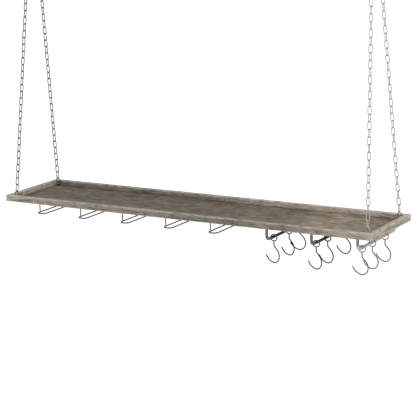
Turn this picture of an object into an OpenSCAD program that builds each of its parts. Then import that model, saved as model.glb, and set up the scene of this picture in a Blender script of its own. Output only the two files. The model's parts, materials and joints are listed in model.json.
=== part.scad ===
// Hanging pot rack: a shallow wooden tray hung on four chains from two ceiling hooks, with stemware
// rails, hook bars and S-hooks below it. Origin: on the ceiling, midway between the hooks, +Z up.
// Millimetres. X runs along the tray and -Y is its front. The modules draw the rack with the tray's
// underside at z = 0, and hung() lowers it so that the hooks' collars meet the ceiling at z = 0.

/* [Tray] */
// Outside length of the tray
tray_l = 1220; // [1150:5:1400]
// Outside width of the tray, front to back
tray_w = 262; // [225:1:340]
// Height of the frame boards
board_h = 19; // [17:0.5:30]
// Thickness of the frame boards
board_t = 15; // [13:0.5:22]
// Thickness of the floor boards
floor_t = 4; // [3:0.5:6]
// Width of the step in the frame boards that the floor lies in
ledge_w = 7; // [6:0.5:9]
// Open seam between two floor boards
seam = 0.6; // [0.3:0.1:1.5]

/* [Nails] */
// Shank diameter of the nails in the mitred corners
corner_nail_d = 1.8; // [1.2:0.1:2.5]
// Head diameter of those nails
corner_nail_head_d = 3.4; // [2.8:0.1:4.5]
// Length of those nails
corner_nail_l = 32; // [22:1:35]
// Shank diameter of the brads that hold the floor
brad_d = 1.4; // [1:0.1:2]
// Head diameter of the brads
brad_head_d = 2.6; // [2.2:0.1:3.4]
// Length of the brads
brad_l = 13; // [9:0.5:15]
// Thickness of the nails' and brads' heads
nail_head_t = 0.8; // [0.5:0.1:1.2]
// Distance of the corner nails from a board's upper and lower edge
corner_nail_edge = 5.5; // [5:0.1:6.5]

/* [Chains] */
// Wire diameter of a chain link
link_wire = 2.4; // [2:0.1:2.8]
// Outside width of a chain link
link_w = 12; // [10.5:0.5:13]
// Wanted distance from link to link; the chain's real pitch is the nearest that fits
link_pitch = 20.4; // [17:0.2:26]
// Height of the hanging rings' low side above the tray's underside
chain_top_z = 915; // [600:5:1500]
// Distance between the two hanging rings
ring_spread = 1110; // [1000:5:1130]
// Turn that each link keeps beside its quarter turn
link_wobble = 7; // [0:1:10]

/* [Chain eyes] */
// Wire diameter of the screw eyes
eye_wire = 2.5; // [2:0.1:3]
// Outside diameter of the eye
eye_d = 10; // [9.5:0.5:11]
// Height of the eyes above the tray's underside
eye_z = 9.5; // [9:0.5:11]
// How far the eye's shank goes into the end board
eye_screw_l = 12; // [8:0.5:12.5]
// Gap between the eye and the front or back board
eye_corner_gap = 1.5; // [1:0.5:6]

/* [Ceiling fittings] */
// Wire diameter of the hanging rings
ring_wire = 4; // [3:0.5:5]
// Outside diameter of the hanging rings
ring_d = 32; // [30:1:45]
// Angle from the ring's lowest point to each chain
ring_fan = 18; // [16:1:25]
// Wire diameter of the ceiling hooks
hook_wire = 5; // [4:0.5:6]
// Inside diameter of the ceiling hook's bend
hook_bore = 21; // [18:1:30]
// How far the ceiling hook's bend goes round after it has passed straight up
hook_wrap = 215; // [190:5:230]
// Bend radius between the ceiling hook's shank and its hook
hook_neck = 8; // [6:1:12]
// Plain shank between the bend and the collar
hook_shank_l = 8; // [4:1:30]
// Collar diameter that stops at the ceiling
collar_d = 13; // [9:1:20]
// Collar thickness
collar_t = 2; // [1:0.5:4]
// Length of the screw above the collar
hook_screw_l = 40; // [25:1:60]
// Length of the screw's point
hook_point_l = 6; // [4:0.5:10]
// Diameter of the point's blunt tip
hook_tip_d = 1; // [0.6:0.1:1.5]

/* [Stemware rails] */
// Distance from one rail to the next
rail_pitch = 149; // [125:1:150]
// Distance from the tray's left end to the first rail
rail_inset = 132; // [110:1:160]
// Wire diameter of the rails
rail_wire = 3.5; // [2.5:0.1:4]
// Wire diameter of the short front leg
front_leg_wire = 3; // [2:0.1:3.4]
// Distance between the two wires of a slot, centre to centre
slot_w = 28; // [24:1:34]
// Distance between the two wires at the open back end
mouth_w = 84; // [75:1:90]
// Angle at which the wires flare apart
flare_angle = 45; // [35:1:50]
// Bend radius of the flare
flare_r = 12; // [8:1:14]
// Drop from the tray's underside to the rails' wires
rail_drop = 25.5; // [20:0.5:50]
// Bend radius of the rear legs
leg_bend_r = 8; // [5:1:10]
// Distance from the front leg to the start of the round front end
leg_setback = 4; // [2:1:15]
// Depth of the bores that take the legs
leg_bore_l = 12; // [9:0.5:13]

/* [Hook bars] */
// Distance from the tray's right end to the last bar
last_bar_inset = 46; // [34:1:60]
// Distance from one bar to the next
bar_pitch = 138; // [130:1:142]
// Side of the square bar
bar_t = 6.4; // [5:0.2:7]
// Drop from the tray's underside to the middle of the bar
bar_drop = 30.5; // [26:0.5:50]
// Bend radius at the bar's lower corners
bar_bend_r = 14; // [8:0.5:17]
// Distance from the tray's outer face to the middle of the upright
bar_inset = 5; // [4.5:0.25:5.5]
// Diameter of the pegs turned on the bar's ends
peg_d = 4; // [3:0.1:4.4]
// Depth of the bores that take the pegs
peg_bore_l = 12; // [8:0.5:13]

/* [S-hooks] */
// Wire diameter of the S-hooks
s_wire = 3.5; // [2.5:0.1:4]
// Outside diameter of the S-hook's ring
s_ring_d = 22; // [20:0.5:26]
// Twist of the ring's plane from the plane of the big bend
s_eye_twist = 30; // [0:1:31]
// Distance from the ring's centre to the centre of the big bend
s_reach = 50.4; // [44:0.2:52]
// Bend radius of the big hook, on the shank's side
s_bend_r = 21.6; // [18:0.2:23]
// Bend radius of the open side
s_open_r = 34.4; // [28:0.2:40]
// How far the open side turns up
s_open_turn = 61; // [45:1:75]
// Sideways offset of the big bend
s_offset = -1.2; // [-3:0.1:0]
// Angle at which the shank leans over to the big bend
s_lean = 50; // [40:1:54]
// Bend radius between the shank and the leaning part
s_neck_r = 5; // [3:0.5:7]
// Distance of each bar's first S-hook from the front bend
s_from_front = [28, 15, 14];
// Offset of its second S-hook from the tray's middle line
s_from_middle = [9, -25, -30];
// Distance of its third S-hook from the back bend
s_from_back = [37, 22, 56];
// How far each S-hook's bend is turned on its bar, bar by bar
s_turns = [[-18, -20, -6], [-20, -17, -15], [-12, -16, -16]];

/* [Clearances] */
// Gap between pieces that move on each other
gap = 0.3; // [0.2:0.05:0.4]
// Radial clearance of nails, screws, legs and pegs in their bores
bore_gap = 0.05; // [0.03:0.01:0.1]

/* [Hidden] */
$fn = 48;
wood = [0.60, 0.55, 0.49];
floor_wood = [0.46, 0.42, 0.36];
zinc = [0.74, 0.74, 0.73];
dark_steel = [0.25, 0.25, 0.24];
bar_steel = [0.45, 0.45, 0.43];

// Pieces that each have their own node
floor_count = 3;
rail_count = 5;
bar_count = 3;
bar_hook_count = 3;
hook_count = bar_count * bar_hook_count;
// How far a cutter reaches past the face that it starts from
past = 1;
// Height of the beads at the joins of bent wire and bar, and their length on the bar
bead_h = 0.02;
bar_bead_l = 0.4;

// Tray
inner_l = tray_l - 2 * board_t;
inner_w = tray_w - 2 * board_t;
floor_l = inner_l + 2 * ledge_w;
floor_w = inner_w + 2 * ledge_w;
floor_board_w = (floor_w - (floor_count - 1) * seam) / floor_count;
// Line of every fixing along the front and back boards: the middle of the ledge
fixing_y = inner_w / 2 + ledge_w / 2;
mitre = board_t;

// Supports below the tray, and the brads between them
rail_xs = [for (i = [0:rail_count - 1]) -tray_l / 2 + rail_inset + i * rail_pitch];
bar_xs = [for (i = [0:bar_count - 1])
             tray_l / 2 - last_bar_inset - (bar_count - 1 - i) * bar_pitch];
support_xs = concat(rail_xs, bar_xs);
brad_xs = concat([rail_xs[0] - rail_pitch / 2],
                 [for (i = [1:len(support_xs) - 1]) (support_xs[i - 1] + support_xs[i]) / 2]);
end_brad_x = inner_l / 2 + ledge_w / 2;
end_brad_ys = [for (i = [0:floor_count - 1]) (i - (floor_count - 1) / 2) * (floor_board_w + seam)];
corner_nail_zs = [corner_nail_edge, board_h - corner_nail_edge];
corner_nail_y = tray_w / 2 - board_t / 2;

// Chain eyes: the chain hangs on the side of the eye away from the end board
eye_r = (eye_d - eye_wire) / 2;
eye_x = inner_l / 2 - gap - eye_d / 2;
eye_y = inner_w / 2 - eye_corner_gap - eye_d / 2;
eye_hang_x = eye_x - eye_r;

// Hanging rings and chains
ring_r = (ring_d - ring_wire) / 2;
ring_x = ring_spread / 2;
ring_z = chain_top_z + ring_r * cos(ring_fan);
chain_top_y = ring_r * sin(ring_fan);
chain_run = [ring_x - eye_hang_x, chain_top_y - eye_y, chain_top_z - eye_z];
chain_l = norm(chain_run);
link_span = chain_l + ring_wire / 2 + eye_wire / 2 + gap;
// An odd number of links, so that the first and the last lie the same way
link_count = 2 * round((link_span / link_pitch - 1) / 2) + 1;
pitch = link_span / link_count;
link_bore_l = pitch + gap;
link_bend_r = (link_w - link_wire) / 2;
link_straight = link_bore_l + link_wire - 2 * link_bend_r;
first_link = link_bore_l / 2 - eye_wire / 2 - gap;
// The links' small turns follow a sine of this step, so that they look unordered
link_turn_step = 137;

// Ceiling hooks
hook_r = (hook_bore + hook_wire) / 2;
hook_low_z = ring_z + ring_r - ring_wire / 2 - gap - hook_wire / 2;
hook_z = hook_low_z + hook_r;
hook_neck_turn = acos(hook_neck / (hook_neck + hook_r));
hook_shank_z = hook_z + (hook_neck + hook_r) * sin(hook_neck_turn);
hook_arc = hook_neck_turn + hook_wrap;
ceiling_z = hook_shank_z + hook_shank_l + collar_t;

// Stemware rails
slot_r = slot_w / 2;
flare_side = (mouth_w - slot_w) / 2;
flare_run = (flare_side - 2 * flare_r * (1 - cos(flare_angle))) / sin(flare_angle);
flare_l = 2 * flare_r * sin(flare_angle) + flare_run * cos(flare_angle);
rail_front_y = -(fixing_y + leg_setback);
rail_back_y = fixing_y - leg_bend_r;
rail_run = rail_back_y - flare_l - rail_front_y;
leg_l = rail_drop - leg_bend_r + leg_bore_l - gap;

// Hook bars
bar_y = tray_w / 2 - bar_inset;
bar_end_y = bar_y - bar_bend_r;
upright_l = bar_drop - bar_bend_r;
bar_top_z = -bar_drop + bar_t / 2;

// S-hooks
s_tip_l = 0.5;
s_ring_r = (s_ring_d - s_wire) / 2;
s_start = [s_offset + s_bend_r * cos(s_lean), -s_reach + s_bend_r * sin(s_lean)];
s_neck_drop = s_neck_r * sin(s_lean);
s_run = (s_start[0] - s_neck_r * (1 - cos(s_lean))) / sin(s_lean);
s_shank_end = -s_start[1] - s_neck_drop - s_run * cos(s_lean);
s_ys = [for (i = [0:bar_count - 1])
            [-bar_end_y + s_from_front[i], s_from_middle[i], bar_end_y - s_from_back[i]]];

// A link's turn as a share of the wobble: none at the chain's ends
function link_turn(i) = sin(i * 180 / (link_count - 1)) * sin(i * link_turn_step);

// Height of a ring turned this far on its bar: it just clears the bar's upper edges as it swings
function s_ring_z(turn) =
    bar_top_z - sqrt(pow(s_ring_r * cos(turn) - s_wire / 2 - gap, 2) - pow(bar_t / 2, 2));

// ---- Wire and square bar, drawn piece by piece: each piece starts at the origin, heads along +Z
// ---- and carries its children on its far end

// A hair-thin bead where two pieces of a wire meet, so that they join as one solid
module bead(d) {
    sphere(d = d + 2 * bead_h);
}

// Straight round wire
module run(l, d) {
    cylinder(h = l, d = d);
    if ($children > 0) translate([0, 0, l]) {
        bead(d);
        children();
    }
}

// Round wire bent toward local +X
module bend(r, turn, d) {
    translate([r, 0, 0]) rotate([90, 0, 0]) rotate([0, 0, 180 - turn])
        rotate_extrude(angle = turn) translate([r, 0]) circle(d = d);
    if ($children > 0) translate([r, 0, 0]) rotate([0, turn, 0]) translate([-r, 0, 0]) {
        bead(d);
        children();
    }
}

// Turn the wire's next bend about its own axis
module roll(a) {
    rotate([0, 0, a]) children();
}

// The same hair-thin bead round a square bar
module bar_bead() {
    side = bar_t + 2 * bead_h;
    cube([side, side, bar_bead_l], center = true);
}

// Straight square bar
module bar_run(l) {
    translate([-bar_t / 2, -bar_t / 2, 0]) cube([bar_t, bar_t, l]);
    if ($children > 0) translate([0, 0, l]) {
        bar_bead();
        children();
    }
}

// Square bar bent square toward local +X
module bar_bend(r) {
    translate([r, 0, 0]) rotate([90, 0, 0]) rotate([0, 0, 90])
        rotate_extrude(angle = 90) translate([r, 0]) square(bar_t, center = true);
    translate([r, 0, r]) rotate([0, 90, 0]) {
        bar_bead();
        children();
    }
}

// ---- Tray

// A frame board along X with mitred ends, its outer face at y = 0 and its step at the bottom inside
module mitred_board(l) {
    difference() {
        linear_extrude(height = board_h)
            polygon([[-l / 2, 0], [l / 2, 0], [l / 2 - mitre, board_t], [-l / 2 + mitre, board_t]]);
        translate([-l / 2, board_t - ledge_w, -past]) cube([l, ledge_w + past, floor_t + past]);
    }
}

// Bores for everything that is fixed along the front (side = -1) or the back (side = 1)
module fixing_bores(side) {
    for (x = rail_xs) {
        if (side < 0)
            translate([x - slot_r, -fixing_y, -past])
                cylinder(h = leg_bore_l + past, d = front_leg_wire + 2 * bore_gap);
        else
            for (s = [-1, 1]) translate([x + s * mouth_w / 2, fixing_y, -past])
                cylinder(h = leg_bore_l + past, d = rail_wire + 2 * bore_gap);
    }
    for (x = bar_xs) translate([x, side * bar_y, -past])
        cylinder(h = peg_bore_l + past, d = peg_d + 2 * bore_gap);
    for (x = brad_xs) translate([x, side * fixing_y, 0]) brad_bore();
}

// Bore of a nail that starts at z = 0, with a seat for its head
module nail_bore(l, d, head_d) {
    translate([0, 0, -past]) cylinder(h = l + past + gap, d = d + 2 * bore_gap);
    translate([0, 0, -past]) cylinder(h = nail_head_t + past, d = head_d + 2 * bore_gap);
}

module brad_bore() {
    nail_bore(brad_l, brad_d, brad_head_d);
}

module end_brad_bores(side) {
    for (y = end_brad_ys) translate([side * end_brad_x, y, 0]) brad_bore();
}

// Bores of the corner nails, driven in along X from the end boards
module corner_nail_bores(side) {
    for (y = [-corner_nail_y, corner_nail_y], z = corner_nail_zs)
        translate([side * tray_l / 2, y, z]) rotate([0, -side * 90, 0])
            nail_bore(corner_nail_l, corner_nail_d, corner_nail_head_d);
}

module front_board() {
    color(wood) difference() {
        translate([0, -tray_w / 2, 0]) mitred_board(tray_l);
        fixing_bores(-1);
        corner_nail_bores(-1);
        corner_nail_bores(1);
    }
}

module back_board() {
    color(wood) difference() {
        translate([0, tray_w / 2, 0]) rotate([0, 0, 180]) mitred_board(tray_l);
        fixing_bores(1);
        corner_nail_bores(-1);
        corner_nail_bores(1);
    }
}

module end_board(side) {
    color(wood) difference() {
        translate([side * tray_l / 2, 0, 0]) rotate([0, 0, side * 90]) mitred_board(tray_w);
        end_brad_bores(side);
        corner_nail_bores(side);
        for (y = [-eye_y, eye_y])
            translate([side * (inner_l / 2 - past), y, eye_z]) rotate([0, side * 90, 0])
                cylinder(h = eye_screw_l + past + gap, d = eye_wire + 2 * bore_gap);
    }
}

module floor_board(i) {
    low_y = -floor_w / 2 + (i - 1) * (floor_board_w + seam);
    color(floor_wood) difference() {
        translate([-floor_l / 2, low_y, 0]) cube([floor_l, floor_board_w, floor_t]);
        if (i == 1) fixing_bores(-1);
        if (i == floor_count) fixing_bores(1);
        end_brad_bores(-1);
        end_brad_bores(1);
    }
}

module nail(l, d, head_d) {
    cylinder(h = l, d = d);
    cylinder(h = nail_head_t, d = head_d);
}

module corner_nails() {
    color(dark_steel)
        for (side = [-1, 1], y = [-corner_nail_y, corner_nail_y], z = corner_nail_zs)
            translate([side * tray_l / 2, y, z]) rotate([0, -side * 90, 0])
                nail(corner_nail_l, corner_nail_d, corner_nail_head_d);
}

module floor_nails() {
    color(dark_steel) {
        for (x = brad_xs, side = [-1, 1]) translate([x, side * fixing_y, 0])
            nail(brad_l, brad_d, brad_head_d);
        for (side = [-1, 1], y = end_brad_ys) translate([side * end_brad_x, y, 0])
            nail(brad_l, brad_d, brad_head_d);
    }
}

// ---- Chains and what they hang on

// Screw eye, lying level: the shank goes into the end board
module chain_eye(side, back) {
    color(zinc) translate([side * eye_x, back * eye_y, eye_z]) {
        rotate_extrude() translate([eye_r, 0]) circle(d = eye_wire);
        rotate([0, side * 90, 0]) translate([0, 0, eye_r])
            cylinder(h = inner_l / 2 - eye_x - eye_r + eye_screw_l, d = eye_wire);
    }
}

// One welded link, long along Z and flat in the XZ plane
module chain_link() {
    for (s = [0, 180]) rotate([0, s, 0]) {
        translate([0, 0, link_straight / 2]) rotate([90, 0, 0])
            rotate_extrude(angle = 180) translate([link_bend_r, 0]) circle(d = link_wire);
        translate([link_bend_r, 0, -link_straight / 2]) cylinder(h = link_straight, d = link_wire);
    }
}

// Chain from an eye of the tray up to its hanging ring
module chain(side, back) {
    lean = acos(chain_run[2] / chain_l);
    toward = atan2(back * chain_run[1], side * chain_run[0]);
    color(zinc) translate([side * eye_hang_x, back * eye_y, eye_z])
        rotate([0, lean, toward]) rotate([0, 0, -toward])
            for (i = [0:link_count - 1])
                translate([0, 0, first_link + i * pitch])
                    rotate([0, 0, 90 * i + link_wobble * link_turn(i)])
                        chain_link();
}

module hanging_ring(side) {
    color(zinc) translate([side * ring_x, 0, ring_z]) rotate([0, 90, 0])
        rotate_extrude() translate([ring_r, 0]) circle(d = ring_wire);
}

// Screw hook: pointed screw, collar, shank, neck and open hook, in the XZ plane
module ceiling_hook(side) {
    color(zinc) translate([side * ring_x, 0, 0]) {
        translate([0, 0, ceiling_z]) {
            cylinder(h = hook_screw_l - hook_point_l, d = hook_wire);
            translate([0, 0, hook_screw_l - hook_point_l])
                cylinder(h = hook_point_l, d1 = hook_wire, d2 = hook_tip_d);
        }
        translate([0, 0, ceiling_z - collar_t]) cylinder(h = collar_t, d = collar_d);
        translate([0, 0, ceiling_z - collar_t]) rotate([180, 0, 0])
            run(hook_shank_l, hook_wire) roll(180)
                bend(hook_neck, hook_neck_turn, hook_wire) roll(180)
                    bend(hook_r, hook_arc, hook_wire);
    }
}

// ---- Below the tray

// Half of a rail's path, from the middle of the round front end to the top of a rear leg
module rail_half() {
    rotate([-90, 0, 0]) rotate([0, 0, 180]) run(rail_run, rail_wire)
        bend(flare_r, flare_angle, rail_wire)
            run(flare_run, rail_wire) roll(180)
                bend(flare_r, flare_angle, rail_wire) roll(-90)
                    bend(leg_bend_r, 90, rail_wire) run(leg_l, rail_wire);
}

module stem_rail(i) {
    x = rail_xs[i - 1];
    color(dark_steel) translate([x, 0, -rail_drop]) {
        translate([-slot_r, rail_front_y, 0]) rail_half();
        mirror([1, 0, 0]) translate([-slot_r, rail_front_y, 0]) rail_half();
        translate([0, rail_front_y, 0]) rotate([0, 0, 180])
            rotate_extrude(angle = 180) translate([slot_r, 0]) circle(d = rail_wire);
        for (s = [-1, 1]) translate([s * slot_r, rail_front_y, 0]) bead(rail_wire);
        translate([-slot_r, -fixing_y, 0])
            cylinder(h = rail_drop + leg_bore_l - gap, d = front_leg_wire);
    }
}

// Square bar bent down and up again, with a round peg on each end that goes up into the tray
module hook_bar(i) {
    color(bar_steel) translate([bar_xs[i - 1], 0, 0]) {
        translate([0, -bar_y, 0]) rotate([180, 0, 90])
            bar_run(upright_l) bar_bend(bar_bend_r)
                bar_run(2 * bar_end_y) bar_bend(bar_bend_r) bar_run(upright_l);
        for (s = [-1, 1]) translate([0, s * bar_y, -past])
            cylinder(h = past + peg_bore_l - gap, d = peg_d);
    }
}

// S-hook with its bend in the XZ plane and its twisted ring's centre at the origin
module s_hook() {
    rotate([90, 0, s_eye_twist]) rotate_extrude() translate([s_ring_r, 0]) circle(d = s_wire);
    translate([0, 0, -s_ring_r]) rotate([180, 0, 0])
        run(s_shank_end - s_ring_r, s_wire)
            bend(s_neck_r, s_lean, s_wire) run(s_run, s_wire) roll(180)
                bend(s_bend_r, s_lean + 90, s_wire)
                    bend(s_open_r, s_open_turn, s_wire) run(s_tip_l, s_wire);
}

// S-hooks are counted along each bar from the front, bar by bar
module pot_hook(i) {
    bar = floor((i - 1) / bar_hook_count);
    place = (i - 1) % bar_hook_count;
    turn = s_turns[bar][place];
    color(dark_steel) translate([bar_xs[bar], s_ys[bar][place], s_ring_z(turn + s_eye_twist)])
        rotate([0, 0, turn]) s_hook();
}

// Lowers the rack from the tray's underside to the ceiling as z = 0
module hung() {
    translate([0, 0, -ceiling_z]) children();
}

hung() front_board();
hung() back_board();
hung() end_board(-1);  // left_end_board
hung() end_board(1);  // right_end_board
for (i = [1:floor_count]) hung() floor_board(i);
hung() corner_nails();
hung() floor_nails();
hung() chain_eye(-1, -1);  // chain_eye_left_front
hung() chain_eye(-1, 1);  // chain_eye_left_back
hung() chain_eye(1, -1);  // chain_eye_right_front
hung() chain_eye(1, 1);  // chain_eye_right_back
hung() chain(-1, -1);  // chain_left_front
hung() chain(-1, 1);  // chain_left_back
hung() chain(1, -1);  // chain_right_front
hung() chain(1, 1);  // chain_right_back
hung() hanging_ring(-1);  // hanging_ring_left
hung() hanging_ring(1);  // hanging_ring_right
hung() ceiling_hook(-1);  // ceiling_hook_left
hung() ceiling_hook(1);  // ceiling_hook_right
for (i = [1:rail_count]) hung() stem_rail(i);
for (i = [1:bar_count]) hung() hook_bar(i);
for (i = [1:hook_count]) hung() pot_hook(i);
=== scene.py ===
"""Hanging pot rack: a weathered wooden tray on zinc-plated chains, with wire rails, square bars
and S-hooks."""
import json
import math

import bmesh
import bpy
from mathutils import Matrix, Vector, noise


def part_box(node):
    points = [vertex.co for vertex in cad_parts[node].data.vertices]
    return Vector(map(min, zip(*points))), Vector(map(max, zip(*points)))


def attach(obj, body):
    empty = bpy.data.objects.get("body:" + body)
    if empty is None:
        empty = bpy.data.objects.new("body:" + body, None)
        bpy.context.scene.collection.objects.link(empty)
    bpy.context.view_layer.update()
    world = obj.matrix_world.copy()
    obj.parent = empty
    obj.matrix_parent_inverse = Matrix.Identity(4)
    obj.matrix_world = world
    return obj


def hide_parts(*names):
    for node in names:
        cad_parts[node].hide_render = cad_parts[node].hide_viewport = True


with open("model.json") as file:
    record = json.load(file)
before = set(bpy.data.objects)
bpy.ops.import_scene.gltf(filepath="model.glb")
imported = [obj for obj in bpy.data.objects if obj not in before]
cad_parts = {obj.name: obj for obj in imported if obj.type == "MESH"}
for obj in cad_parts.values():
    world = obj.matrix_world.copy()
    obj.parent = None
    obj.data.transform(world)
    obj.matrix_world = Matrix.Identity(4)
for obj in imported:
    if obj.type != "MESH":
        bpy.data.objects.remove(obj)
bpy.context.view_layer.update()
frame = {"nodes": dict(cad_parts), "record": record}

bl_info = {
    "name": "Hanging pot rack",
    "version": (1, 0, 0),
    "blender": (4, 5, 0),
    "location": "3D View > Sidebar > Pot rack",
    "description": "Dresses the hanging pot rack in weathered wood, zinc plate and drawn steel",
    "category": "Object",
}

MM = 0.001
NODES = frame["nodes"]
BODIES = frame["record"]["behaviour"]["bodies"]
NODE_BODY = {node: body for body, nodes in BODIES.items() for node in nodes}
# The tray's underside below the ceiling, where z = 0
TRAY_DROP = -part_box("front_board")[0].z

# What counts as the same length, as one point, as on a cutting plane and as at a face, in metres
ALIKE = 1e-6
ONE_POINT = 0.002 * MM
ON_PLANE = 1e-7
AT_FACE = 0.01 * MM
# Angles in degrees: faces that are one plane, edges that stay sharp, and the rim of a nail's head
ONE_PLANE_DEG = 0.5
SHARP_DEG = 40
RIM_DEG = 60

# The span in which nearly all values of a noise lie
NOISE_SPAN = (0.3, 0.7)
# How many steps make a bend of the bars and one turn of the thread
BEND_STEPS, THREAD_STEPS = 10, 20
# How strong the light from all round is, and so the glow of the room's floor for the camera
ALL_ROUND = 0.62
# From the middle of the room's floor to its edge, in metres
FLOOR_REACH = 30.0

# The photograph's view: the camera's turn, height and roll in degrees, its distance and the point
# that it looks at (to the right of the middle and above the tray's underside) in metres
VIEW_TURN, VIEW_RISE, VIEW_ROLL = 30.42, 12.79, -1.445
VIEW_AWAY, VIEW_RIGHT, VIEW_LIFT = 4.459, 0.02584, 0.01103
# Its focal length and the picture's width in pixels, its sensor's width, and how far it sees
FOCAL_PX, PICTURE_PX, SENSOR_MM, VIEW_END = 1525.6, 415, 36, 60
# Each lamp's width in metres, its power in watts and its place from the tray's middle
LAMPS = {
    "key": (1.6, 26, (2.6, -1.9, 1.5)),
    "fill": (2.0, 12, (-2.8, -2.6, 0.6)),
    "back": (2.0, 10, (-0.6, 3.0, 1.2)),
}


def linear(hex_colour):
    """An sRGB hex colour as the linear RGBA that a shader socket takes."""
    parts = [int(hex_colour.lstrip("#")[i:i + 2], 16) / 255 for i in (0, 2, 4)]
    return (*(c / 12.92 if c <= 0.04045 else ((c + 0.055) / 1.055) ** 2.4 for c in parts), 1.0)


def length_mm(name, description, default):
    """A length property that is given in millimetres."""
    return bpy.props.FloatProperty(name=name, description=description, default=default * MM,
                                   min=0.0, unit="LENGTH", subtype="DISTANCE")


def colour(name, description, default):
    """A colour property that is given as an sRGB hex colour."""
    return bpy.props.FloatVectorProperty(name=name, description=description, size=4, min=0.0,
                                         max=1.0, subtype="COLOR", default=linear(default))


class RackSizes(bpy.types.PropertyGroup):
    """Lengths that the boxes of the frame's nodes don't give"""
    board_t: length_mm("Frame board", "Thickness of the frame boards", 15)
    floor_t: length_mm("Floor board", "Thickness of the floor boards", 4)
    ledge_w: length_mm("Ledge", "Width of the step that the floor lies in", 7)
    worn_edge: length_mm("Worn edge", "Rounding of the frame boards' long edges", 1.1)
    worn_depth: length_mm("Wear", "Deepest hollow worn into the frame's edges", 0.7)
    worn_reach: length_mm("Wear reach", "How far the frame's wear reaches from an edge", 3.4)
    mitre_edge: length_mm("Mitre edge", "Rounding of the mitred ends", 0.35)
    mitre_spared: length_mm("Mitre spared", "What the wear's reach loses at the mitres", 1)
    floor_edge: length_mm("Floor edge", "Rounding of the floor boards' edges", 0.5)
    floor_wear: length_mm("Floor wear", "Deepest hollow worn into the floor's edges", 0.3)
    floor_reach: length_mm("Floor wear reach", "How far the floor's wear reaches", 3)
    hollow: length_mm("Hollow", "Length of the worn hollows", 26)
    waviness: length_mm("Waviness", "Unevenness of the weathered faces", 0.12)
    cut_step: length_mm("Cut step", "Distance between the cross cuts that carry the wear", 12)
    edge_cut: length_mm("Edge cut", "Distance of the outermost cuts from an edge", 3)
    bar_edge: length_mm("Bar edge", "Rounding of the square bars' edges", 0.7)
    bar_bend_r: length_mm("Bar bend", "Bend radius at the square bars' lower corners", 14)
    peg_d: length_mm("Peg", "Diameter of the pegs on the square bars' ends", 4)
    peg_l: length_mm("Peg length", "Length of those pegs", 11.7)
    peg_sunk: length_mm("Peg root", "How deep the pegs' meshes start inside the bars", 1)
    # Where the painted shade on the first two bars' level runs ends, and how far up the painted
    # light on the last bar's level run reaches
    painted_shade_end: length_mm("Scale end", "How far before the bends the black scale ends", 10)
    painted_light_end: length_mm("Bright end", "How far above its level run the last bar is bright", 11)
    tone_change: length_mm("Tone change", "Half the length over which two tones meet", 4)
    hook_ring: length_mm("S-hook ring", "Outside diameter of the S-hooks' rings", 22)
    nail_edge: length_mm("Nail edge", "Rounding of the nails' heads", 0.45)
    thread_pitch: length_mm("Thread pitch", "Pitch of the ceiling hooks' screw thread", 2.4)
    thread_depth: length_mm("Thread depth", "Depth of the ceiling hooks' screw thread", 0.55)
    thread_ridge: length_mm("Thread ridge", "Width of the thread's ridge at its root", 1.4)
    thread_sunk: length_mm("Thread root", "How deep the ridge's mesh starts inside the core", 0.2)
    thread_end: length_mm("Thread end", "Straight length of the screws without thread", 4)
    point_l: length_mm("Point", "Length of the ceiling hooks' points", 6)
    tip_r: length_mm("Tip", "Radius of those points' tips", 0.5)
    floor_drop: length_mm("Room height", "Distance from the ceiling to the floor", 2450)


class RackColours(bpy.types.PropertyGroup):
    """Tones of the woods and metals"""
    wood_mid: colour("Frame wood", "Main tone of the frame boards", "#D6CCBC")
    wood_dark: colour("Frame grain", "Dark grain lines of the frame boards", "#7A6E5E")
    wood_light: colour("Frame worn", "Worn edges of the frame boards", "#F2EBE2")
    wood_pink: colour("Frame pink", "Pink tint of the newer wood", "#E4C6B6")
    wood_green: colour("Frame green", "Green tint of the oldest wood", "#B7B89B")
    floor_mid: colour("Floor wood", "Main tone of the floor boards", "#B8A993")
    floor_dark: colour("Floor grain", "Dark grain lines of the floor boards", "#5B503E")
    floor_light: colour("Floor worn", "Scuffs on the floor boards", "#E0D8C8")
    floor_pink: colour("Floor pink", "Pink tint of the floor boards", "#C4AA92")
    floor_green: colour("Floor green", "Green tint of the floor boards", "#A2A184")
    zinc: colour("Zinc", "Zinc plate on right chains, eyes, rings and ceiling hooks", "#B4AEAA")
    # A dark, dull copy of the zinc plate, used on the left chains only
    zinc_dull: colour("Dull zinc", "Zinc plate that has dulled on the left chains", "#4F4B49")
    rail_steel: colour("Rail wire", "Black-oxide steel of the stemware rails", "#211F1E")
    # Painted shade: the near black of the first two bars' level runs is the tray's shadow painted
    # on them
    bar_painted_shade: colour("Bar scale", "Black scale on the level runs of the first two bars", "#0D0C0B")
    bar_bare: colour("Bare bar", "Steel of those bars' uprights", "#85807B")
    # Painted light: the pale tone of the last bar's level run is painted light and reflection
    bar_painted_light: colour("Pale bar", "Bright steel of the last bar's level run", "#DAD6D0")
    bar_grey: colour("Grey bar", "Steel of the last bar's uprights", "#8A8581")
    # The S-hooks' tones are painted light and shade: darkest under the tray, palest on the last bar
    hook_dark_painted_shade: colour("Dark S-hooks", "Darkest wire of the S-hooks", "#1F1E1E")
    hook_mid_painted_half_light: colour("Grey S-hooks", "Middle wire of the S-hooks", "#45413F")
    hook_pale_painted_light: colour("Pale S-hooks", "Lightest wire of the S-hooks", "#7A7270")
    # Painted highlight: the rings of the lit S-hooks are lighter than their bends
    ring_grey_painted_highlight: colour("Grey rings", "Rubbed rings of the grey S-hooks", "#8A807A")
    ring_pale_painted_highlight: colour("Pale rings", "Rubbed rings of the palest S-hooks", "#B9AFA6")
    nail_steel: colour("Nails", "Darkened steel of the nails", "#3B3733")


def sizes():
    """The scene's lengths, in metres."""
    return bpy.context.scene.rack_sizes


def colours():
    """The scene's tones, as linear RGBA."""
    return bpy.context.scene.rack_colours


# ---- Materials


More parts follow.
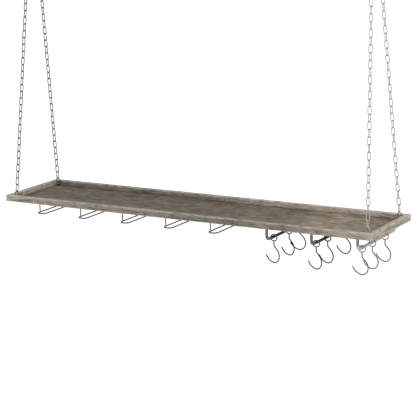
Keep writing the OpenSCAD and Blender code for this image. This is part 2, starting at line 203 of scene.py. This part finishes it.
def new_material(name):
    """An empty node material and its tree."""
    material = bpy.data.materials.new(name)
    material.use_nodes = True
    material.node_tree.nodes.clear()
    return material, material.node_tree


def add(tree, kind, feeds=None, **settings):
    """A node with its settings; feeds gives its inputs, as values or as other nodes' outputs."""
    node = tree.nodes.new(kind)
    for key, value in settings.items():
        setattr(node, key, value)
    for key, value in (feeds or {}).items():
        if isinstance(value, bpy.types.NodeSocket):
            tree.links.new(value, node.inputs[key])
        else:
            node.inputs[key].default_value = value
    return node


def reckon(tree, operation, *values):
    """The result of a math operation on one or two values."""
    return add(tree, "ShaderNodeMath", dict(enumerate(values)), operation=operation).outputs[0]


def mapped(tree, value, span, target=(0.0, 1.0)):
    """A value carried over from one span to another, and held at the ends."""
    feeds = {"Value": value, "From Min": span[0], "From Max": span[1], "To Min": target[0],
             "To Max": target[1]}
    return add(tree, "ShaderNodeMapRange", feeds).outputs[0]


def mixed(tree, share, first, second, blend="MIX"):
    """Two colours mixed by a share of the second."""
    return add(tree, "ShaderNodeMix", {"Factor": share, "A": first, "B": second},
               data_type="RGBA", blend_type=blend).outputs["Result"]


def ramp(tree, value, stops):
    """A value turned into a colour by (value, colour) stops."""
    node = add(tree, "ShaderNodeValToRGB", {"Fac": value})
    elements = node.color_ramp.elements
    while len(elements) < len(stops):
        elements.new(0.5)
    for element, (place, stop) in zip(elements, stops):
        element.position = place
        element.color = stop
    return node.outputs["Color"]


def grey(value):
    """A linear grey as RGBA."""
    return (value, value, value, 1.0)


# How light each board is along its length, from the left or from the front: partly its weathering,
# partly painted shade and light.
# The floor boards' right ends are darkened as the painted shadow of the right end board, and the
# back board's right part is lightened where it lies in shade:
# (share of the length, tone)
WEATHERING_AND_PAINTED_SHADE = {
    "front_board": ((0.0, 0.88), (0.27, 0.68), (0.50, 0.55), (0.66, 0.50), (0.80, 0.55),
                    (0.90, 0.86), (1.0, 0.95)),
    "back_board": ((0.0, 0.55), (0.30, 0.51), (0.48, 0.68), (0.62, 1.0), (1.0, 0.90)),
    "left_end_board": ((0.0, 1.0), (1.0, 0.90)),
    "right_end_board": ((0.0, 1.0), (1.0, 1.0)),
    "floor_board_1": ((0.0, 0.56), (0.50, 0.46), (0.74, 0.56), (0.86, 1.0), (0.93, 0.90),
                      (1.0, 0.56)),
    "floor_board_2": ((0.0, 0.50), (0.45, 0.43), (0.72, 0.54), (0.85, 1.0), (0.93, 0.84),
                      (1.0, 0.52)),
    "floor_board_3": ((0.0, 0.48), (0.50, 0.46), (0.75, 0.56), (0.86, 0.94), (0.93, 0.76),
                      (1.0, 0.50)),
}
# How far the tint leans from green (below 0) to pink (above 0), at a board's first and last end
LEANS = {
    "front_board": (-0.01, 0.055),
    "back_board": (-0.07, 0.12),
    "left_end_board": (-0.02, -0.02),
    "right_end_board": (0.05, 0.03),
    "floor_board_1": (-0.02, 0.0),
    "floor_board_2": (-0.02, 0.0),
    "floor_board_3": (-0.02, 0.0),
}


def weathered_wood(node, along, half_l, tones, seed, broad=1.0):
    """Softwood left raw and greyed by weather: the soft grain has sunk, the dark late wood stands
    up in thin lines, rubbed edges show pale fibre. No varnish, so no gloss. Broad widens the
    grain."""
    mid, dark, light, pink, green = tones
    material, tree = new_material("weathered_softwood_" + node)
    place = add(tree, "ShaderNodeTexCoord").outputs["Object"]
    lengthways = "XYZ".index(along)
    far = add(tree, "ShaderNodeSeparateXYZ", {"Vector": place}).outputs[lengthways]
    share = mapped(tree, far, (-half_l, half_l))

    def grain(along_mm, across_mm, detail, rough=0.55, warp=0.0):
        """Noise drawn out along the board, at another place of the noise for each seed."""
        scale = [1 / (across_mm * broad * MM)] * 3
        scale[lengthways] = 1 / (along_mm * MM)
        spot = add(tree, "ShaderNodeMapping", {"Vector": place, "Scale": scale,
                                               "Location": (seed * 7.3, seed * 3.1, seed * 5.7)})
        return add(tree, "ShaderNodeTexNoise", {"Vector": spot.outputs[0], "Scale": 1.0,
                                                "Detail": detail, "Roughness": rough,
                                                "Distortion": warp}).outputs["Fac"]

    def darkened(under, value, stops, strength):
        """Multiplies a colour by the (value, lightness) stops of a value."""
        shade = ramp(tree, value, [(at, grey(lightness)) for at, lightness in stops])
        return mixed(tree, strength, under, shade, "MULTIPLY")

    # Growth rings about 5 mm apart, seen as long streaks; real late wood is thinner than a pixel,
    # so the lines are drawn as wide as the picture needs
    streaks = grain(along_mm=60, across_mm=4.6, detail=5.0, rough=0.66, warp=0.5)
    fibre = ramp(tree, streaks, [(0.34, dark), (0.50, mid), (0.68, light)])
    # Patches a thumb wide and a hand long, where the wood has weathered green or kept its pink
    lean = mapped(tree, share, (0.0, 1.0), LEANS[node])
    patches = grain(along_mm=85, across_mm=24, detail=3.0)
    hue = reckon(tree, "ADD", patches, lean)
    tint = ramp(tree, hue, [(0.41, green), (0.50, mid), (0.59, pink)])
    body = mixed(tree, 0.45, fibre, tint)
    # Dark stains, a finger wide, and the short dark dashes of pores and checks
    stains = grain(along_mm=30, across_mm=12, detail=4.0, rough=0.6, warp=0.8)
    stained = darkened(body, stains, [(0.34, 0.30), (0.52, 1.0)], strength=0.55)
    pores = grain(along_mm=24, across_mm=2.2, detail=3.0, rough=0.7)
    checked = darkened(stained, pores, [(0.36, 0.20), (0.46, 1.0)], strength=0.45)
    # Late wood: fine dark lines that wander along the board, the contour lines of a slow noise
    slow = grain(along_mm=240, across_mm=17, detail=2.0, rough=0.45)
    ring = reckon(tree, "FRACT", reckon(tree, "MULTIPLY", slow, 16.0))
    ringed = darkened(checked, ring, [(0.0, 0.85), (0.12, 1.0), (0.70, 1.0), (0.92, 0.35)],
                      strength=0.6)
    # Raised fibre, under a millimetre wide on the frame
    hairs = grain(along_mm=38, across_mm=0.8, detail=2.0, rough=0.7)
    furred = darkened(ringed, hairs, [(0.38, 0.45), (0.52, 1.0)], strength=0.55)
    # The slow change of tone along the board: weathering, with the painted shade and painted light
    # of the table above
    weathered_and_painted_shade = darkened(furred, share, WEATHERING_AND_PAINTED_SHADE[node], strength=1.0)
    # Rubbed edges: the mesh says where, a noise breaks it up
    worn = add(tree, "ShaderNodeAttribute", attribute_name="worn").outputs["Fac"]
    scuffs = grain(along_mm=20, across_mm=8, detail=3.0)
    broken = mapped(tree, scuffs, (0.38, 0.60), (0.10, 0.85))
    paled = mixed(tree, reckon(tree, "MULTIPLY", worn, broken), weathered_and_painted_shade, light)
    height = reckon(tree, "ADD", reckon(tree, "ADD", streaks, pores), hairs)
    relief = add(tree, "ShaderNodeBump", {"Height": height, "Strength": 0.6,
                                          "Distance": 0.6 * MM})
    dryness = grain(along_mm=40, across_mm=9, detail=2.0)
    rough = mapped(tree, dryness, NOISE_SPAN, (0.74, 0.92))
    shader = add(tree, "ShaderNodeBsdfPrincipled",
                 {"Base Color": paled, "Roughness": rough, "Normal": relief.outputs["Normal"],
                  "IOR": 1.45, "Specular IOR Level": 0.25})
    add(tree, "ShaderNodeOutputMaterial", {"Surface": shader.outputs[0]})
    return material


def drawn_steel(name, tone, roughness, mottle_mm, metallic=1.0, specular=0.5, beyond=None,
                axis="Z", turn=0.0):
    """Drawn wire or rolled bar with a dull plated or oiled skin: a metal whose gloss and tone vary
    a little from place to place. A black-oxide skin is no bare metal, so its metallic is low and
    its edges don't shine. With beyond, the skin takes that tone above the height turn, or, with
    the axis Y, farther from the middle than turn, both to the front and to the back."""
    material, tree = new_material(name)
    place = add(tree, "ShaderNodeTexCoord").outputs["Object"]
    mottle = add(tree, "ShaderNodeTexNoise", {"Vector": place, "Scale": 1 / (mottle_mm * MM),
                                              "Detail": 4.0, "Roughness": 0.6}).outputs["Fac"]
    if beyond:
        reach = add(tree, "ShaderNodeSeparateXYZ", {"Vector": place}).outputs[axis]
        if axis == "Y":
            reach = reckon(tree, "ABSOLUTE", reach)
        change = sizes().tone_change
        tone = mixed(tree, mapped(tree, reach, (turn - change, turn + change)), tone, beyond)
    # The mottle takes up to 28 % of the tone and makes the darker places duller
    shaded = mixed(tree, 1.0, tone, mapped(tree, mottle, NOISE_SPAN, (0.72, 1.0)), "MULTIPLY")
    rough = mapped(tree, mottle, NOISE_SPAN, (roughness + 0.1, roughness - 0.06))
    relief = add(tree, "ShaderNodeBump", {"Height": mottle, "Strength": 0.3,
                                          "Distance": 0.03 * MM})
    shader = add(tree, "ShaderNodeBsdfPrincipled",
                 {"Base Color": shaded, "Metallic": metallic, "Roughness": rough,
                  "Normal": relief.outputs["Normal"], "Specular IOR Level": specular})
    add(tree, "ShaderNodeOutputMaterial", {"Surface": shader.outputs[0]})
    return material


def dress(node, material):
    """Gives a node that keeps its own mesh a better material."""
    mesh = NODES[node].data
    mesh.materials.clear()
    mesh.materials.append(material)


# ---- Meshes


def finished(name, bm, material, body, node):
    """Turns a bmesh into a piece that rides on its body and stands for its node."""
    mesh = bpy.data.meshes.new(name)
    bmesh.ops.recalc_face_normals(bm, faces=bm.faces)
    for face in bm.faces:
        face.smooth = True
    for edge in bm.edges:
        if len(edge.link_faces) == 2 and edge.calc_face_angle(0.0) > math.radians(SHARP_DEG):
            edge.smooth = False
    bm.to_mesh(mesh)
    bm.free()
    mesh.materials.append(material)
    piece = bpy.data.objects.new(name, mesh)
    bpy.context.scene.collection.objects.link(piece)
    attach(piece, body)
    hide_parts(node)


def merged_copy(node):
    """A bmesh of a node's own mesh, its points merged and its flat faces made whole again."""
    bm = bmesh.new()
    bm.from_mesh(NODES[node].data)
    bmesh.ops.remove_doubles(bm, verts=bm.verts, dist=ONE_POINT)
    bmesh.ops.dissolve_limit(bm, angle_limit=math.radians(ONE_PLANE_DEG), verts=bm.verts,
                             edges=bm.edges)
    return bm


def alike(a, b):
    """True where two lengths are the same but for rounding."""
    return abs(a - b) < ALIKE


def drawn_out(bm, cap, step):
    """Extrudes an end face by a step and gives the new end face. With its edges among the geometry
    the old face goes, so that none is left inside, unless it closes the other end."""
    made = bmesh.ops.extrude_face_region(bm, geom=[cap, *cap.edges])["geom"]
    bmesh.ops.translate(bm, vec=step, verts=[v for v in made if isinstance(v, bmesh.types.BMVert)])
    return next(f for f in made if isinstance(f, bmesh.types.BMFace))


def cut(bm, point, normal, **settings):
    """Cuts the whole mesh at a plane."""
    bmesh.ops.bisect_plane(bm, geom=bm.verts[:] + bm.edges[:] + bm.faces[:], dist=ON_PLANE,
                           plane_co=point, plane_no=normal, **settings)


def cut_across(bm, axis, places):
    """Cuts the mesh at planes square to an axis, so that wear has vertices to move."""
    normal = Vector([float(i == axis) for i in range(3)])
    for at in places:
        cut(bm, normal * at, normal)


def steps_between(low, high, step):
    """Places between two ends, evenly spread and about a step apart."""
    count = max(1, round((high - low) / step))
    return [low + (high - low) * i / count for i in range(1, count)]


def wear(bm, edge_lines, reach, depth, seed, pale=1.0):
    """Rubs a board down towards its edges. Each edge line is a function that gives a vertex's
    distance from an edge; pale is how far the rubbed fibre pales. Sets the worn attribute and
    sinks the rubbed places."""
    s = sizes()
    layer = bm.verts.layers.float.new("worn")
    bm.normal_update()
    for vert in bm.verts:
        away = min(line(vert.co) for line in edge_lines)
        rub = max(0.0, 1.0 - away / reach)
        vert[layer] = rub * pale
        # Hollows along rather more than half of an edge, each board at another place of the noise
        spot = vert.co / s.hollow + Vector((seed * 9.1, seed, -seed))
        bite = max(0.0, noise.noise(spot) + 0.15)
        # Waves three times as long as the hollows
        broad_spot = vert.co / (3 * s.hollow) - Vector((seed, seed, seed))
        sunk = s.waviness * (0.5 + 0.5 * noise.noise(broad_spot))
        vert.co -= vert.normal * (depth * rub * bite + sunk)


def bevel_edges(bm, edges, offset, segments):
    """Rounds edges by an offset, in so many segments."""
    bmesh.ops.bevel(bm, geom=edges, offset=offset, offset_type="OFFSET", segments=segments,
                    profile=0.5, affect="EDGES", clamp_overlap=True, material=-1)


def mitred_board(long, height):
    """A bmesh of a frame board along X: a section with a step for the floor at the bottom inside,
    sheared to 45 degrees at both ends, with worn long edges and crisper mitres."""
    s = sizes()
    inner, ledge = s.board_t, s.board_t - s.ledge_w
    outline = [(0, 0), (ledge, 0), (ledge, s.floor_t), (inner, s.floor_t), (inner, height),
               (0, height)]
    bm = bmesh.new()
    section = bm.faces.new([bm.verts.new((-long / 2, y, z)) for y, z in outline])
    drawn_out(bm, section, (long, 0, 0))
    for vert in bm.verts:
        vert.co.x -= math.copysign(vert.co.y, vert.co.x)
    bmesh.ops.recalc_face_normals(bm, faces=bm.faces)
    worn_edges = []
    for edge in bm.edges:
        a, b = (vert.co for vert in edge.verts)
        in_step = alike(a.y, ledge) and alike(a.z, s.floor_t)
        if alike(a.y, b.y) and alike(a.z, b.z) and not in_step:
            worn_edges.append(edge)
    bevel_edges(bm, worn_edges, s.worn_edge, 3)
    # A mitre's normal has 0.71 along the board, and a long face's has none
    ends = [e for e in bm.edges if len(e.link_faces) == 2
            and any(abs(f.normal.x) > 0.6 for f in e.link_faces)
            and any(abs(f.normal.x) < 0.1 for f in e.link_faces)]
    bevel_edges(bm, ends, s.mitre_edge, 2)
    return bm


def frame_edge_lines(long, height):
    """Functions for a vertex's distance from each edge of a frame board: both upper edges, the
    lower outer edge, whose wear reaches less far, and the mitres, which are rubbed less."""
    s = sizes()
    return [lambda p: max(height - p.z, p.y),
            lambda p: max(height - p.z, s.board_t - p.y),
            lambda p: max(p.z, p.y) * 1.4,
            # 0.7 turns a distance along the board into one square to the mitre
            lambda p: max(0.0, long / 2 - p.y - abs(p.x)) * 0.7 + s.mitre_spared]


class RACK_OT_frame_boards(bpy.types.Operator):
    """Four mitred frame boards of weathered wood with worn edges"""
    bl_idname = "rack.frame_boards"
    bl_label = "Frame boards"

    def execute(self, context):
        s, c = sizes(), colours()
        tones = [c.wood_mid, c.wood_dark, c.wood_light, c.wood_pink, c.wood_green]
        turns = {"front_board": 0, "back_board": 180, "left_end_board": -90, "right_end_board": 90}
        for seed, (node, turn) in enumerate(turns.items(), 1):
            low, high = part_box(node)
            size = high - low
            along = "X" if turn % 180 == 0 else "Y"
            long, height = (size.x if along == "X" else size.y), size.z
            bm = mitred_board(long, height)
            middle_part = long / 2 - s.board_t
            cut_across(bm, 0, steps_between(-middle_part, middle_part, s.cut_step))
            cut_across(bm, 1, [s.edge_cut, s.board_t - s.edge_cut])
            cut_across(bm, 2, [s.edge_cut, height / 2, height - s.edge_cut])
            wear(bm, frame_edge_lines(long, height), s.worn_reach, s.worn_depth, seed)
            bmesh.ops.rotate(bm, verts=bm.verts, cent=(0, 0, 0),
                             matrix=Matrix.Rotation(math.radians(turn), 3, "Z"))
            outer = {0: (0, low.y), 180: (0, high.y), -90: (low.x, 0), 90: (high.x, 0)}[turn]
            bmesh.ops.translate(bm, verts=bm.verts, vec=(*outer, low.z))
            wood = weathered_wood(node, along, long / 2, tones, seed)
            finished(node + "_wood", bm, wood, NODE_BODY[node], node)
        return {"FINISHED"}


class RACK_OT_floor_boards(bpy.types.Operator):
    """Floor boards lying in the frame's ledge"""
    bl_idname = "rack.floor_boards"
    bl_label = "Floor boards"

    def execute(self, context):
        s, c = sizes(), colours()
        tones = [c.floor_mid, c.floor_dark, c.floor_light, c.floor_pink, c.floor_green]
        for seed, node in enumerate(("floor_board_1", "floor_board_2", "floor_board_3"), 11):
            low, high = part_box(node)
            size, middle = high - low, (high + low) / 2
            half = size / 2
            bm = bmesh.new()
            bmesh.ops.create_cube(bm, size=1.0)
            bmesh.ops.scale(bm, vec=size, verts=bm.verts)
            bevel_edges(bm, bm.edges[:], s.floor_edge, 2)
            cut_across(bm, 0, steps_between(-half.x, half.x, 2 * s.cut_step))
            cut_across(bm, 1, [s.edge_cut - half.y, 0, half.y - s.edge_cut])
            sides = [lambda p: max(half.y - abs(p.y), half.z - p.z)]
            wear(bm, sides, s.floor_reach, s.floor_wear, seed, pale=0.3)
            bmesh.ops.translate(bm, verts=bm.verts, vec=middle)
            wood = weathered_wood(node, "X", half.x, tones, seed, broad=2.4)
            finished(node + "_wood", bm, wood, NODE_BODY[node], node)
        return {"FINISHED"}


def bent(bm, cap, centre):
    """Bends the bar on from an end face by a quarter turn about X and gives the new end face."""
    made = bmesh.ops.spin(bm, geom=[cap, *cap.edges, *cap.verts], cent=centre, axis=(1, 0, 0),
                          dvec=(0, 0, 0), angle=math.pi / 2, steps=BEND_STEPS,
                          use_duplicate=False)["geom_last"]
    return next(f for f in made if isinstance(f, bmesh.types.BMFace))


def add_rod(bm, x, y, low, high, radius, tip_radius=None, segments=24):
    """Adds an upright round rod, or a cone where its tip has another radius."""
    bmesh.ops.create_cone(bm, cap_ends=True, segments=segments, radius1=radius,
                          radius2=radius if tip_radius is None else tip_radius, depth=high - low,
                          matrix=Matrix.Translation((x, y, (low + high) / 2)))


class RACK_OT_hook_bars(bpy.types.Operator):
    """Square bars with rounded edges, bent down and up again, their ends turned to round pegs"""
    bl_idname = "rack.hook_bars"
    bl_label = "Hook bars"

    def execute(self, context):
        s, c = sizes(), colours()
        # The first two bars' level runs lie in the tray's shadow and are painted near black as
        # painted shade, with hardly any gloss, so that no reflection shows. Their uprights keep the
        # bare steel tone.
        # The last bar's level run is painted pale as painted light and reflection, and it is greyer
        # higher up.
        # Each skin: level run, uprights, axis of the change, metallic, specular
        painted_shade_skin = (c.bar_painted_shade, c.bar_bare, "Y", 0.0, 0.08)
        skins = {"hook_bar_1": painted_shade_skin, "hook_bar_2": painted_shade_skin,
                 "hook_bar_3": (c.bar_painted_light, c.bar_grey, "Z", 0.3, 0.2)}
        for node, (level, upright, axis, metallic, specular) in skins.items():
            low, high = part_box(node)
            side, x = high.x - low.x, (high.x + low.x) / 2
            # The uprights' middle lines are at end_y, the level run's at run_z
            end_y, run_z = high.y - side / 2, low.z + side / 2
            r = s.bar_bend_r
            bm = bmesh.new()
            bmesh.ops.create_circle(bm, cap_ends=True, segments=4, radius=side / math.sqrt(2),
                                    matrix=Matrix.Rotation(math.radians(45), 4, "Z"))
            bmesh.ops.bevel(bm, geom=bm.verts[:], offset=s.bar_edge, offset_type="OFFSET",
                            segments=3, profile=0.5, affect="VERTICES", material=-1)
            bmesh.ops.translate(bm, verts=bm.verts, vec=(x, -end_y, -TRAY_DROP))
            cap = drawn_out(bm, bm.faces[:][0], (0, 0, run_z + r + TRAY_DROP))
            cap = bent(bm, cap, (x, r - end_y, run_z + r))
            cap = drawn_out(bm, cap, (0, 2 * (end_y - r), 0))
            cap = bent(bm, cap, (x, end_y - r, run_z + r))
            drawn_out(bm, cap, (0, 0, -TRAY_DROP - run_z - r))
            for y in (-end_y, end_y):
                add_rod(bm, x, y, -TRAY_DROP - s.peg_sunk, -TRAY_DROP + s.peg_l, s.peg_d / 2)
            turn = end_y - r - s.painted_shade_end if axis == "Y" else run_z + s.painted_light_end
            steel = drawn_steel("rolled_steel_" + node, level, roughness=0.42, mottle_mm=9,
                                metallic=metallic, specular=specular, beyond=upright, axis=axis,
                                turn=turn)
            finished(node + "_steel", bm, steel, NODE_BODY[node], node)
        return {"FINISHED"}


class RACK_OT_nails(bpy.types.Operator):
    """Corner nails and floor brads, their heads rounded by the hammer"""
    bl_idname = "rack.nails"
    bl_label = "Nails"

    def execute(self, context):
        s, c = sizes(), colours()
        # Nail steel darkened with age: dull, with small lighter spots
        steel = drawn_steel("darkened_nail_steel", c.nail_steel, roughness=0.55, mottle_mm=1.5)
        # The corner nails' heads lie at both ends of the tray, the brads' heads under it
        for node, axis, sides in (("corner_nails", 0, 2), ("floor_nails", 2, 1)):
            heads = [corner[axis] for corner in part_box(node)[:sides]]
            bm = merged_copy(node)
            rims = [e for e in bm.edges if e.calc_face_angle(0.0) > math.radians(RIM_DEG)
                    and any(all(abs(v.co[axis] - at) < AT_FACE for v in e.verts) for at in heads)]
            bevel_edges(bm, rims, s.nail_edge, 3)
            finished(node + "_steel", bm, steel, NODE_BODY[node], node)
        return {"FINISHED"}


class RACK_OT_ceiling_hooks(bpy.types.Operator):
    """Screw hooks whose screws have a cut thread and a gimlet point"""
    bl_idname = "rack.ceiling_hooks"
    bl_label = "Ceiling hooks"

    def execute(self, context):
        s, c = sizes(), colours()
        # Zinc plate: a light grey metal with soft highlights
        zinc = drawn_steel("zinc_plated_hook_steel", c.zinc, roughness=0.30, mottle_mm=5)
        for node in ("ceiling_hook_left", "ceiling_hook_right"):
            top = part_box(node)[1].z
            bm = merged_copy(node)
            # The plain screw is cut off just above the ceiling and closed
            stub = 2 * AT_FACE
            cut(bm, (0, 0, stub), (0, 0, 1), clear_outer=True)
            rim = [e for e in bm.edges if e.is_boundary]
            bmesh.ops.holes_fill(bm, edges=rim, sides=0)
            ring = [v.co for v in bm.verts if v.co.z > stub - AT_FACE / 2]
            x = sum(co.x for co in ring) / len(ring)
            outer = max(math.hypot(co.x - x, co.y) for co in ring)
            core, straight = outer - s.thread_depth, top - s.point_l
            add_rod(bm, x, 0, 0, straight, core, segments=32)
            add_rod(bm, x, 0, straight, top, core, s.tip_r, segments=32)
            # The thread: a three-cornered ridge, its middle one ridge's width above the ceiling
            root, half = core - s.thread_sunk, s.thread_ridge / 2
            profile = [(root, half), (root, 3 * half), (outer, 2 * half)]
            ridge = bm.faces.new([bm.verts.new((x + away, 0, z)) for away, z in profile])
            turns = (straight - s.thread_end) / s.thread_pitch
            steps = round(turns * THREAD_STEPS)
            bmesh.ops.spin(bm, geom=[ridge, *ridge.edges, *ridge.verts], cent=(x, 0, 0),
                           axis=(0, 0, 1), dvec=(0, 0, turns * s.thread_pitch / steps),
                           angle=turns * 2 * math.pi, steps=steps, use_duplicate=False)
            finished(node + "_steel", bm, zinc, NODE_BODY[node], node)
        return {"FINISHED"}


class RACK_OT_metalwork(bpy.types.Operator):
    """Chains, rings, eyes, rails and S-hooks in their metals"""
    bl_idname = "rack.metalwork"
    bl_label = "Metalwork"

    def execute(self, context):
        s, c = sizes(), colours()
        # Zinc plate: a light grey metal with soft highlights
        zinc = drawn_steel("zinc_plated_steel", c.zinc, roughness=0.30, mottle_mm=5)
        # A dark, dull copy of the zinc plate for the left chains: a flat dark grey with hardly a
        # highlight
        dull = drawn_steel("dark_dull_zinc_plate", c.zinc_dull, roughness=0.50, mottle_mm=5,
                           metallic=0.2, specular=0.2)
        # Black oxide: nearly black and matt
        rail = drawn_steel("black_oxide_wire_rails", c.rail_steel, roughness=0.55, mottle_mm=7,
                           metallic=0.0, specular=0.12)
        # S-hooks of drawn wire, from dark to pale as painted shade and painted light, and their
        # rings lighter still as a painted highlight.
        # Each kind: its bend, its ring where that is lighter, and metallic
        kinds = {"dark": (c.hook_dark_painted_shade, None, 0.0), "grey": (c.hook_mid_painted_half_light, c.ring_grey_painted_highlight, 0.1),
                 "pale": (c.hook_pale_painted_light, c.ring_pale_painted_highlight, 0.4)}
        ring_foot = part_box("pot_hook_1")[1].z - s.hook_ring
        hooks = {kind: drawn_steel("drawn_steel_hooks_" + kind, bend, roughness=0.50, mottle_mm=7,
                                   metallic=metallic, specular=0.15, beyond=ring, turn=ring_foot)
                 for kind, (bend, ring, metallic) in kinds.items()}
        # The S-hooks are counted along each bar from the front: the first two bars' front hooks are
        # painted half lit, their others are in painted shade, and the last bar has the palest ones,
        # painted light
        shades = {"pot_hook_1": "grey", "pot_hook_4": "grey", "pot_hook_7": "pale",
                  "pot_hook_8": "pale", "pot_hook_9": "pale"}
        for node in NODES:
            if node.startswith("chain_left"):
                dress(node, dull)
            elif node.startswith(("chain_", "hanging_ring")):
                dress(node, zinc)
            elif node.startswith("stem_rail"):
                dress(node, rail)
            elif node.startswith("pot_hook"):
                dress(node, hooks[shades.get(node, "dark")])
        return {"FINISHED"}


# ---- Stage


def shown_ray(tree):
    """1 for a ray from the camera, or one sent on by a gloss or by a clear stuff, and 0 for one
    that only gathers light."""
    ray = add(tree, "ShaderNodeLightPath").outputs
    shiny = reckon(tree, "MAXIMUM", ray["Is Glossy Ray"], ray["Is Transmission Ray"])
    return reckon(tree, "MAXIMUM", ray["Is Camera Ray"], shiny)


def either(tree, share, first, second):
    """Two shaders mixed by a share of the second."""
    return add(tree, "ShaderNodeMixShader", {0: share, 1: first, 2: second}).outputs[0]


def pale_world():
    """A white background, and softer light from all round."""
    world = bpy.data.worlds.new("pale_studio")
    world.use_nodes = True
    tree = world.node_tree
    tree.nodes.clear()
    light, white = [add(tree, "ShaderNodeBackground", {"Color": grey(1.0), "Strength": strength})
                    for strength in (ALL_ROUND, 1.0)]
    surface = either(tree, shown_ray(tree), light.outputs[0], white.outputs[0])
    add(tree, "ShaderNodeOutputWorld", {"Surface": surface})
    return world


def pale_floor():
    """Plain pale floor that keeps a shadow. It glows faintly for the camera, so that it meets the
    background, and is clear from below."""
    pale, tree = new_material("pale_floor")
    plain = add(tree, "ShaderNodeBsdfDiffuse", {"Color": linear("#E6E6E6")}).outputs[0]
    glow = add(tree, "ShaderNodeEmission", {"Color": grey(1.0), "Strength": ALL_ROUND}).outputs[0]
    both = add(tree, "ShaderNodeAddShader", {0: plain, 1: glow}).outputs[0]
    lit = either(tree, shown_ray(tree), plain, both)
    below = add(tree, "ShaderNodeNewGeometry").outputs["Backfacing"]
    clear = add(tree, "ShaderNodeBsdfTransparent").outputs[0]
    add(tree, "ShaderNodeOutputMaterial", {"Surface": either(tree, below, lit, clear)})
    return pale


def add_room_floor():
    """A wide floor at room height under the rack."""
    bm = bmesh.new()
    bmesh.ops.create_grid(bm, x_segments=1, y_segments=1, size=FLOOR_REACH)
    bmesh.ops.translate(bm, verts=bm.verts, vec=(0, 0, -sizes().floor_drop))
    mesh = bpy.data.meshes.new("room_floor")
    bm.to_mesh(mesh)
    bm.free()
    mesh.materials.append(pale_floor())
    floor = bpy.data.objects.new("room_floor", mesh)
    bpy.context.scene.collection.objects.link(floor)


def add_lamp(name, width, power, place):
    """A soft square lamp that shines on the tray."""
    data = bpy.data.lights.new(name, "AREA")
    data.size, data.energy = width, power
    lamp = bpy.data.objects.new(name, data)
    bpy.context.scene.collection.objects.link(lamp)
    tray = Vector((0, 0, -TRAY_DROP))
    lamp.location = Vector(place) + tray
    lamp.rotation_mode = "QUATERNION"
    lamp.rotation_quaternion = (tray - lamp.location).to_track_quat("-Z", "Y")


def add_camera():
    """The camera in the photograph's view."""
    camera = bpy.data.objects.new("camera", bpy.data.cameras.new("camera"))
    bpy.context.scene.collection.objects.link(camera)
    bpy.context.scene.camera = camera
    turn, rise, roll = (math.radians(angle) for angle in (VIEW_TURN, VIEW_RISE, VIEW_ROLL))
    target = Vector((VIEW_RIGHT, 0.0, VIEW_LIFT - TRAY_DROP))
    back = Vector((math.sin(turn) * math.cos(rise), -math.cos(turn) * math.cos(rise),
                   math.sin(rise)))
    right = Vector((math.cos(turn), math.sin(turn), 0))
    up = back.cross(right)
    tilted_right = right * math.cos(roll) + up * math.sin(roll)
    tilted_up = up * math.cos(roll) - right * math.sin(roll)
    facing = Matrix((tilted_right, tilted_up, back)).transposed().to_4x4()
    camera.matrix_world = Matrix.Translation(target + back * VIEW_AWAY) @ facing
    camera.data.sensor_width = SENSOR_MM
    camera.data.lens = SENSOR_MM * FOCAL_PX / PICTURE_PX
    camera.data.clip_end = VIEW_END


class RACK_OT_stage(bpy.types.Operator):
    """Pale room floor, white background, soft studio light and the camera"""
    bl_idname = "rack.stage"
    bl_label = "Stage"

    def execute(self, context):
        context.scene.view_settings.view_transform = "Standard"
        context.scene.world = pale_world()
        add_room_floor()
        for name, (width, power, place) in LAMPS.items():
            add_lamp(name, width, power, place)
        add_camera()
        return {"FINISHED"}


class RACK_PT_panel(bpy.types.Panel):
    """Lists the rack's pieces in the sidebar"""
    bl_label = "Pot rack"
    bl_idname = "RACK_PT_panel"
    bl_space_type = "VIEW_3D"
    bl_region_type = "UI"
    bl_category = "Pot rack"

    def draw(self, context):
        for operator in PIECES:
            self.layout.operator(operator.bl_idname)
        for group in (context.scene.rack_sizes, context.scene.rack_colours):
            box = self.layout.box()
            for key in group.__annotations__:
                box.prop(group, key)


PIECES = (RACK_OT_frame_boards, RACK_OT_floor_boards, RACK_OT_nails, RACK_OT_hook_bars,
          RACK_OT_ceiling_hooks, RACK_OT_metalwork, RACK_OT_stage)
CLASSES = (RackSizes, RackColours, *PIECES, RACK_PT_panel)


def register():
    for cls in CLASSES:
        bpy.utils.register_class(cls)
    bpy.types.Scene.rack_sizes = bpy.props.PointerProperty(type=RackSizes)
    bpy.types.Scene.rack_colours = bpy.props.PointerProperty(type=RackColours)


def unregister():
    del bpy.types.Scene.rack_sizes
    del bpy.types.Scene.rack_colours
    for cls in reversed(CLASSES):
        bpy.utils.unregister_class(cls)


def main():
    register()
    for operator in PIECES:
        group, action = operator.bl_idname.split(".")
        getattr(getattr(bpy.ops, group), action)()


if __name__ == "__main__":
    main()
